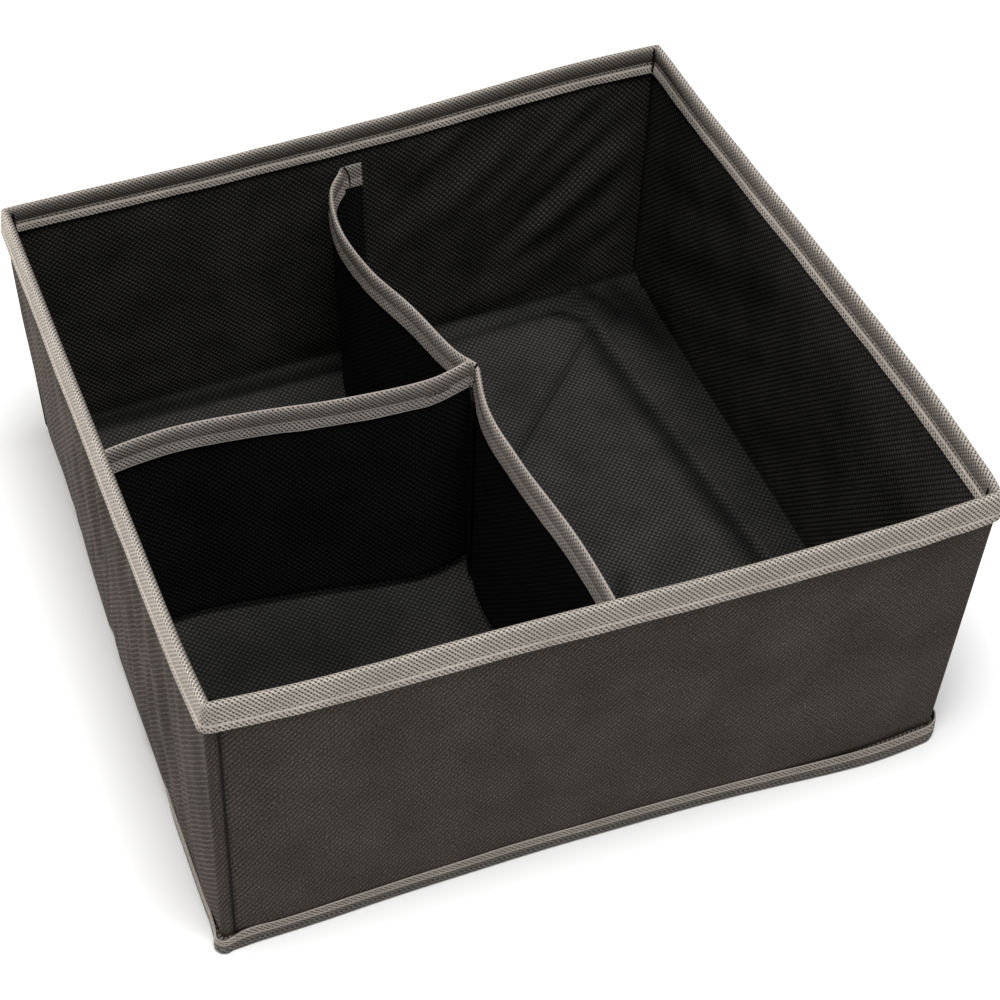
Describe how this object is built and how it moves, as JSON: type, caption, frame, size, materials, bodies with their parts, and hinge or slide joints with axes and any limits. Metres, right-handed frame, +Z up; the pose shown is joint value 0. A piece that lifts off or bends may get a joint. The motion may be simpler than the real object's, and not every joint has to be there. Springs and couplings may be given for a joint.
{
  "type": "fabric drawer organiser box",
  "caption": "Shallow open-topped fabric storage box with card-stiffened walls, taped edges and sewn-in curved dividers; folds flat once its base is opened.",
  "frame": {"origin": "centre of the footprint on the surface the box stands on", "axes": "+Z up; +X to the right along the front wall, towards the large compartment; +Y from the front wall to the back wall"},
  "size_m": [0.3, 0.3, 0.13],
  "materials": {
    "cover_fabric": "warm dark grey-brown non-woven fabric with a fine embossed diamond pattern, matt",
    "lining_fabric": "charcoal non-woven fabric with fine raised dots, matt",
    "binding_tape": "light taupe-grey non-woven binding tape with small dark embossed dots, lock-stitched, matt",
    "card": "plain grey-brown card"
  },
  "bodies": {
    "base": {"bottom_sheet": "cover_fabric", "base_board": "card", "floor_lining": "lining_fabric"},
    "back_wall": {"back_cover": "cover_fabric", "back_board": "card", "back_lining": "lining_fabric", "back_rim_tape": "binding_tape", "back_bottom_tape": "binding_tape", "back_left_corner_cover": "cover_fabric", "back_left_corner_rim_tape": "binding_tape", "back_left_corner_bottom_tape": "binding_tape", "back_right_corner_cover": "cover_fabric", "back_right_corner_rim_tape": "binding_tape", "back_right_corner_bottom_tape": "binding_tape"},
    "left_wall": {"left_cover": "cover_fabric", "left_board": "card", "left_lining": "lining_fabric", "left_rim_tape": "binding_tape", "left_bottom_tape": "binding_tape", "front_left_corner_cover": "cover_fabric", "front_left_corner_rim_tape": "binding_tape", "front_left_corner_bottom_tape": "binding_tape", "cross_left_tab": "lining_fabric"},
    "right_wall": {"right_cover": "cover_fabric", "right_board": "card", "right_lining": "lining_fabric", "right_rim_tape": "binding_tape", "right_bottom_tape": "binding_tape"},
    "front_wall": {"front_cover": "cover_fabric", "front_board": "card", "front_lining": "lining_fabric", "front_rim_tape": "binding_tape", "front_bottom_tape": "binding_tape", "front_right_corner_cover": "cover_fabric", "front_right_corner_rim_tape": "binding_tape", "front_right_corner_bottom_tape": "binding_tape", "centre_front_tab": "lining_fabric"},
    "centre_divider": {"centre_back_board": "card", "centre_back_sleeve": "lining_fabric", "centre_back_tape": "binding_tape", "centre_front_board": "card", "centre_front_sleeve": "lining_fabric", "centre_front_tape": "binding_tape", "centre_back_tab": "lining_fabric", "cross_junction_tab": "lining_fabric"},
    "cross_divider": {"cross_board": "card", "cross_sleeve": "lining_fabric", "cross_tape": "binding_tape"}
  },
  "joints": [
    {"name": "base_opening", "type": "hinge", "parent": "base", "child": "back_wall", "pos_m": [0, 0.15, 0], "axis": [-1, 0, 0], "range_deg": [0, 90]},
    {"name": "fold", "type": "hinge", "parent": "back_wall", "child": "left_wall", "pos_m": [-0.1456, 0.1456, 0], "axis": [0, 0, 1], "range_deg": [0, 74]},
    {"name": "right_wall_fold", "type": "hinge", "parent": "back_wall", "child": "right_wall", "pos_m": [0.1478, 0.1478, 0], "axis": [0, 0, 1], "range_deg": [0, 74]},
    {"name": "centre_divider_fold", "type": "hinge", "parent": "back_wall", "child": "centre_divider", "pos_m": [0.005, 0.14625, 0], "axis": [0, 0, 1], "range_deg": [0, 74]},
    {"name": "front_wall_fold", "type": "hinge", "parent": "left_wall", "child": "front_wall", "pos_m": [-0.1478, -0.1478, 0], "axis": [0, 0, 1], "range_deg": [-74, 0]},
    {"name": "cross_divider_fold", "type": "hinge", "parent": "left_wall", "child": "cross_divider", "pos_m": [-0.1461, 0.0068, 0], "axis": [0, 0, 1], "range_deg": [-74, 0]}
  ],
  "couplings": [
    {"joint": "right_wall_fold", "follows": "fold", "ratio": 1},
    {"joint": "centre_divider_fold", "follows": "fold", "ratio": 1},
    {"joint": "front_wall_fold", "follows": "fold", "ratio": -1},
    {"joint": "cross_divider_fold", "follows": "fold", "ratio": -1}
  ]
}
